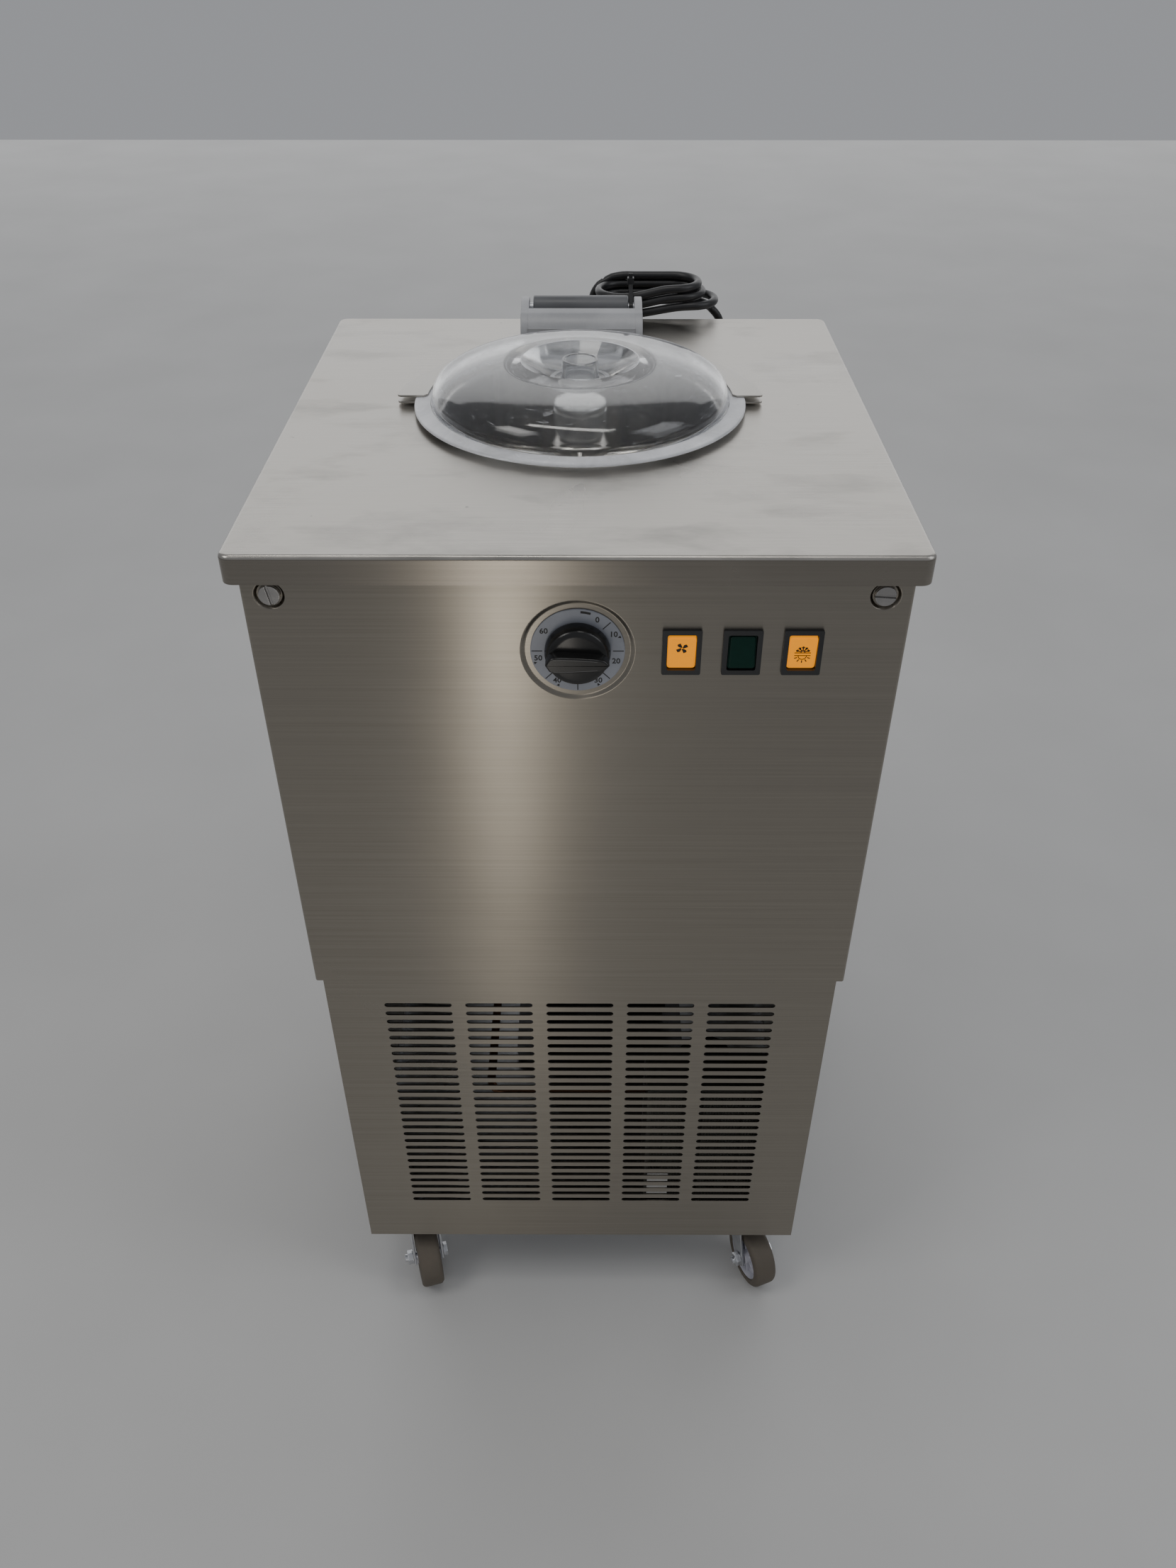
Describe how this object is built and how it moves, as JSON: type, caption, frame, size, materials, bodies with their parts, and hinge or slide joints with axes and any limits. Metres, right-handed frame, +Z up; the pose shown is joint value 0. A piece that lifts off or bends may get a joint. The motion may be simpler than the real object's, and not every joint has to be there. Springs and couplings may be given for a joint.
{
  "type": "ice cream maker",
  "caption": "Floor-standing batch ice cream maker on castors, with a steel cabinet, a clear hinged lid over a fixed freezing bowl, a timer and rocker switches.",
  "frame": {"origin": "on the floor, under the centre of the worktop", "axes": "+Z up; the front, with the timer and switches, faces -Y; +X is to the right when facing the front"},
  "size_m": [0.45, 0.5857, 0.8922],
  "materials": {
    "cabinet_steel": "brushed stainless steel, horizontal grain",
    "polished_steel": "polished stainless steel",
    "zinc_steel": "zinc-plated steel",
    "cast_grey": "grey painted die casting",
    "clear_plastic": "clear moulded plastic, scratched",
    "black_plastic": "moulded black plastic",
    "amber_lens": "lit translucent plastic",
    "green_lens": "unlit translucent plastic",
    "dial_white": "printed plate",
    "cord_rubber": "black cable sheath",
    "tyre_rubber": "worn grey-brown rubber",
    "black_enamel": "black enamel",
    "copper_tube": "copper tube",
    "bronze_bush": "sintered bronze",
    "bare_aluminium": "plain aluminium",
    "foam": "rigid polyurethane foam"
  },
  "bodies": {
    "cabinet": {"top_plate": "cabinet_steel", "front_cover": "cabinet_steel", "grille_panel": "cabinet_steel", "side_panel_left": "cabinet_steel", "side_panel_right": "cabinet_steel", "rear_panel": "cabinet_steel", "base_tray": "zinc_steel", "gearbox_deck": "zinc_steel", "freezing_bowl": "polished_steel", "insulation_jacket": "foam", "evaporator_coil": "copper_tube", "gearbox": "bare_aluminium", "drive_motor": "black_enamel", "shaft_bush": "bronze_bush", "compressor_mount": "zinc_steel", "compressor": "black_enamel", "condenser": "bare_aluminium", "fan_shroud": "zinc_steel", "fan_motor": "black_enamel", "discharge_pipe": "copper_tube", "timer_body": "black_plastic", "dial_plate": "dial_white", "switch_body_fan": "black_plastic", "switch_body_power": "black_plastic", "switch_body_mode": "black_plastic", "panel_screw_left": "zinc_steel", "panel_screw_right": "zinc_steel", "hinge_barrel": "cast_grey", "hinge_pin": "zinc_steel", "cord_gland": "black_plastic", "cord_riser": "cord_rubber", "cord_tail": "cord_rubber", "cord_hank": "cord_rubber", "cord_tie": "black_plastic", "mains_plug": "black_plastic"},
    "lid": {"lid_dome": "clear_plastic", "lid_carrier_upper": "polished_steel", "lid_carrier_lower": "polished_steel", "hinge_casting": "cast_grey"},
    "plug_in_funnel": {"funnel_plug": "clear_plastic"},
    "paddle_drive": {"drive_shaft": "zinc_steel", "paddle": "polished_steel"},
    "nut": {"paddle_nut": "polished_steel"},
    "knob": {"timer_knob": "black_plastic"},
    "fan_rocker": {"rocker_fan": "amber_lens"},
    "power_rocker": {"rocker_power": "green_lens"},
    "mode_rocker": {"rocker_mode": "amber_lens"},
    "fan_rotor": {"fan_blade": "bare_aluminium"},
    "swivel_front_left": {"castor_fork_front_left": "zinc_steel", "castor_axle_front_left": "zinc_steel"},
    "swivel_front_right": {"castor_fork_front_right": "zinc_steel", "castor_axle_front_right": "zinc_steel"},
    "swivel_rear_left": {"castor_fork_rear_left": "zinc_steel", "castor_axle_rear_left": "zinc_steel"},
    "swivel_rear_right": {"castor_fork_rear_right": "zinc_steel", "castor_axle_rear_right": "zinc_steel"},
    "wheel_front_left": {"castor_wheel_front_left": "tyre_rubber"},
    "wheel_front_right": {"castor_wheel_front_right": "tyre_rubber"},
    "wheel_rear_left": {"castor_wheel_rear_left": "tyre_rubber"},
    "wheel_rear_right": {"castor_wheel_rear_right": "tyre_rubber"}
  },
  "joints": [
    {"name": "lid_hinge", "type": "hinge", "parent": "cabinet", "child": "lid", "pos_m": [0, 0.211, 0.868], "axis": [-1, 0, 0], "range_deg": [0, 95]},
    {"name": "plug_lift", "type": "slide", "parent": "lid", "child": "plug_in_funnel", "axis": [0, 0, 1], "range_m": [0, 0.06]},
    {"name": "paddle_spin", "type": "hinge", "parent": "cabinet", "child": "paddle_drive", "pos_m": [0, 0.017, 0.816], "axis": [0, 0, 1], "continuous": true},
    {"name": "nut_lift", "type": "slide", "parent": "paddle_drive", "child": "nut", "axis": [0, 0, 1], "range_m": [0, 0.012]},
    {"name": "timer_turn", "type": "hinge", "parent": "cabinet", "child": "knob", "pos_m": [0, -0.2295, 0.7755], "axis": [0, 1, 0], "range_deg": [-270, 45]},
    {"name": "fan_rocker_tilt", "type": "hinge", "parent": "cabinet", "child": "fan_rocker", "pos_m": [0.069, -0.2252, 0.7755], "axis": [1, 0, 0], "range_deg": [-10, 0]},
    {"name": "power_rocker_tilt", "type": "hinge", "parent": "cabinet", "child": "power_rocker", "pos_m": [0.109, -0.2252, 0.7755], "axis": [1, 0, 0], "range_deg": [0, 10]},
    {"name": "mode_rocker_tilt", "type": "hinge", "parent": "cabinet", "child": "mode_rocker", "pos_m": [0.149, -0.2252, 0.7755], "axis": [1, 0, 0], "range_deg": [-10, 0]},
    {"name": "condenser_fan_spin", "type": "hinge", "parent": "cabinet", "child": "fan_rotor", "pos_m": [0.126, -0.1663, 0.21], "axis": [0, 1, 0], "continuous": true},
    {"name": "swivel_front_left_turn", "type": "hinge", "parent": "cabinet", "child": "swivel_front_left", "pos_m": [-0.168, -0.186, 0.0325], "axis": [0, 0, 1], "continuous": true},
    {"name": "swivel_front_right_turn", "type": "hinge", "parent": "cabinet", "child": "swivel_front_right", "pos_m": [0.168, -0.186, 0.0325], "axis": [0, 0, 1], "continuous": true},
    {"name": "swivel_rear_left_turn", "type": "hinge", "parent": "cabinet", "child": "swivel_rear_left", "pos_m": [-0.168, 0.186, 0.0325], "axis": [0, 0, 1], "continuous": true},
    {"name": "swivel_rear_right_turn", "type": "hinge", "parent": "cabinet", "child": "swivel_rear_right", "pos_m": [0.168, 0.186, 0.0325], "axis": [0, 0, 1], "continuous": true},
    {"name": "wheel_front_left_roll", "type": "hinge", "parent": "swivel_front_left", "child": "wheel_front_left", "pos_m": [-0.16028, -0.21291, 0.0325], "axis": [0.9613, 0.2756, 0], "continuous": true},
    {"name": "wheel_front_right_roll", "type": "hinge", "parent": "swivel_front_right", "child": "wheel_front_right", "pos_m": [0.17849, -0.21196, 0.0325], "axis": [0.9272, 0.3746, 0], "continuous": true},
    {"name": "wheel_rear_left_roll", "type": "hinge", "parent": "swivel_rear_left", "child": "wheel_rear_left", "pos_m": [-0.16218, 0.15861, 0.0325], "axis": [0.9781, 0.2079, 0], "continuous": true},
    {"name": "wheel_rear_right_roll", "type": "hinge", "parent": "swivel_rear_right", "child": "wheel_rear_right", "pos_m": [0.17983, 0.16062, 0.0325], "axis": [0.9063, 0.4226, 0], "continuous": true}
  ]
}
